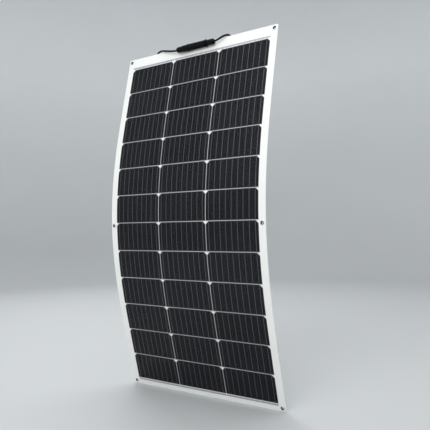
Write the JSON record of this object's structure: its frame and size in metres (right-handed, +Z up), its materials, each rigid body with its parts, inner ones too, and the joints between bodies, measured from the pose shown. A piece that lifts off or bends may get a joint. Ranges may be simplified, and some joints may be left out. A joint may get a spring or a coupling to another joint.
{
  "type": "flexible solar sheet",
  "caption": "Thin bowed flexible solar sheet of half-cut cells on white laminate, with ringed eyelets, a rear junction box and mated leads over its top edge.",
  "frame": {"origin": "bottom centre of the object's bounding box, at the height of the sheet's lower edge", "axes": "+X across the sheet to the right seen from the cell side, +Z up the sheet's length, the cells face -Y; the ends bow back towards +Y"},
  "size_m": [0.545, 0.1126, 1.0689],
  "materials": {
    "front_film": "clear fluoropolymer film, faintly embossed, semi-gloss",
    "backsheet": "white glass-fibre laminate, smooth, slightly glossy in front and matt behind",
    "cells": "monocrystalline silicon, near black with fine silver fingers",
    "ribbon": "tinned copper, satin",
    "eyelet": "nickel plated, bright",
    "box_shell": "fine moulded texture",
    "connector_shell": "moulded glass-filled plastic, satin",
    "lead": "cross-linked cable jacket, satin",
    "seal": "matt silicone",
    "contact": "plated contact metal",
    "diode": "epoxy body, glossy"
  },
  "bodies": {
    "row_7": {"film_row_7": "front_film", "cells_row_7": "cells", "ribbons_row_7": "ribbon", "backsheet_row_7": "backsheet", "eyelets_middle": "eyelet"},
    "row_6": {"film_row_6": "front_film", "cells_row_6": "cells", "ribbons_row_6": "ribbon", "backsheet_row_6": "backsheet"},
    "row_5": {"film_row_5": "front_film", "cells_row_5": "cells", "ribbons_row_5": "ribbon", "backsheet_row_5": "backsheet"},
    "row_4": {"film_row_4": "front_film", "cells_row_4": "cells", "ribbons_row_4": "ribbon", "backsheet_row_4": "backsheet"},
    "row_3": {"film_row_3": "front_film", "cells_row_3": "cells", "ribbons_row_3": "ribbon", "backsheet_row_3": "backsheet"},
    "rows_1_2": {"film_rows_1_2": "front_film", "cells_rows_1_2": "cells", "ribbons_rows_1_2": "ribbon", "backsheet_rows_1_2": "backsheet", "bus_ribbons_top": "ribbon", "eyelets_top": "eyelet", "junction_box_base": "box_shell", "bypass_diodes": "diode", "junction_terminals": "contact", "left_lead": "lead", "right_lead": "lead", "plug_housing": "connector_shell", "plug_contact": "contact", "plug_seal": "seal", "plug_o_ring": "seal"},
    "row_8": {"film_row_8": "front_film", "cells_row_8": "cells", "ribbons_row_8": "ribbon", "backsheet_row_8": "backsheet"},
    "row_9": {"film_row_9": "front_film", "cells_row_9": "cells", "ribbons_row_9": "ribbon", "backsheet_row_9": "backsheet"},
    "row_10": {"film_row_10": "front_film", "cells_row_10": "cells", "ribbons_row_10": "ribbon", "backsheet_row_10": "backsheet"},
    "rows_11_12": {"film_rows_11_12": "front_film", "cells_rows_11_12": "cells", "ribbons_rows_11_12": "ribbon", "backsheet_rows_11_12": "backsheet", "bus_ribbons_bottom": "ribbon", "eyelets_bottom": "eyelet"},
    "box_lid": {"junction_box_lid": "box_shell"},
    "socket_half": {"socket_housing": "connector_shell", "socket_pin": "contact", "socket_seal": "seal"},
    "socket_gland": {"socket_nut": "connector_shell"},
    "plug_gland": {"plug_nut": "connector_shell"}
  },
  "joints": [
    {"name": "bow_gap_6", "type": "hinge", "parent": "row_7", "child": "row_6", "pos_m": [0, -0.05428, 0.52175], "axis": [-1, 0, 0], "range_deg": [-4.84, 5.32], "stiffness_Nm_per_rad": 150},
    {"name": "bow_gap_5", "type": "hinge", "parent": "row_6", "child": "row_5", "pos_m": [0, -0.05069, 0.60667], "axis": [-1, 0, 0], "range_deg": [-4.95, 5.4], "stiffness_Nm_per_rad": 150},
    {"name": "bow_gap_4", "type": "hinge", "parent": "row_5", "child": "row_4", "pos_m": [0, -0.04039, 0.69104], "axis": [-1, 0, 0], "range_deg": [-4.11, 4.48], "stiffness_Nm_per_rad": 150},
    {"name": "bow_gap_3", "type": "hinge", "parent": "row_4", "child": "row_3", "pos_m": [0, -0.02465, 0.77457], "axis": [-1, 0, 0], "range_deg": [-2.82, 3.06], "stiffness_Nm_per_rad": 150},
    {"name": "bow_gap_2", "type": "hinge", "parent": "row_3", "child": "rows_1_2", "pos_m": [0, -0.0054, 0.85736], "axis": [-1, 0, 0], "range_deg": [-1.3, 1.39], "stiffness_Nm_per_rad": 150},
    {"name": "bow_gap_7", "type": "hinge", "parent": "row_7", "child": "row_8", "pos_m": [0, -0.05069, 0.43682], "axis": [1, 0, 0], "range_deg": [-4.95, 5.4], "stiffness_Nm_per_rad": 150},
    {"name": "bow_gap_8", "type": "hinge", "parent": "row_8", "child": "row_9", "pos_m": [0, -0.04039, 0.35245], "axis": [1, 0, 0], "range_deg": [-4.11, 4.48], "stiffness_Nm_per_rad": 150},
    {"name": "bow_gap_9", "type": "hinge", "parent": "row_9", "child": "row_10", "pos_m": [0, -0.02465, 0.26892], "axis": [1, 0, 0], "range_deg": [-2.82, 3.06], "stiffness_Nm_per_rad": 150},
    {"name": "bow_gap_10", "type": "hinge", "parent": "row_10", "child": "rows_11_12", "pos_m": [0, -0.0054, 0.18613], "axis": [1, 0, 0], "range_deg": [-1.29, 1.39], "stiffness_Nm_per_rad": 150},
    {"name": "lid_lift", "type": "slide", "parent": "rows_1_2", "child": "box_lid", "axis": [0, 0.9704, -0.2417], "range_m": [0, 0.02]},
    {"name": "connector_unplug", "type": "slide", "parent": "rows_1_2", "child": "socket_half", "axis": [-1, 0, 0], "range_m": [0, 0.03], "deforming": ["left_lead"]},
    {"name": "socket_nut_turn", "type": "hinge", "parent": "socket_half", "child": "socket_gland", "pos_m": [-0.056, 0.02962, 1.05011], "axis": [-1, 0, 0], "range_deg": [0, 360]},
    {"name": "plug_nut_turn", "type": "hinge", "parent": "rows_1_2", "child": "plug_gland", "pos_m": [0.057, 0.02962, 1.05011], "axis": [1, 0, 0], "range_deg": [0, 360]}
  ],
  "couplings": [
    {"joint": "bow_gap_5", "follows": "bow_gap_6", "ratio": 0.93969},
    {"joint": "bow_gap_4", "follows": "bow_gap_6", "ratio": 0.76604},
    {"joint": "bow_gap_3", "follows": "bow_gap_6", "ratio": 0.5},
    {"joint": "bow_gap_2", "follows": "bow_gap_6", "ratio": 0.18533},
    {"joint": "bow_gap_7", "follows": "bow_gap_6", "ratio": 0.93969},
    {"joint": "bow_gap_8", "follows": "bow_gap_6", "ratio": 0.76604},
    {"joint": "bow_gap_9", "follows": "bow_gap_6", "ratio": 0.5},
    {"joint": "bow_gap_10", "follows": "bow_gap_6", "ratio": 0.18506}
  ]
}
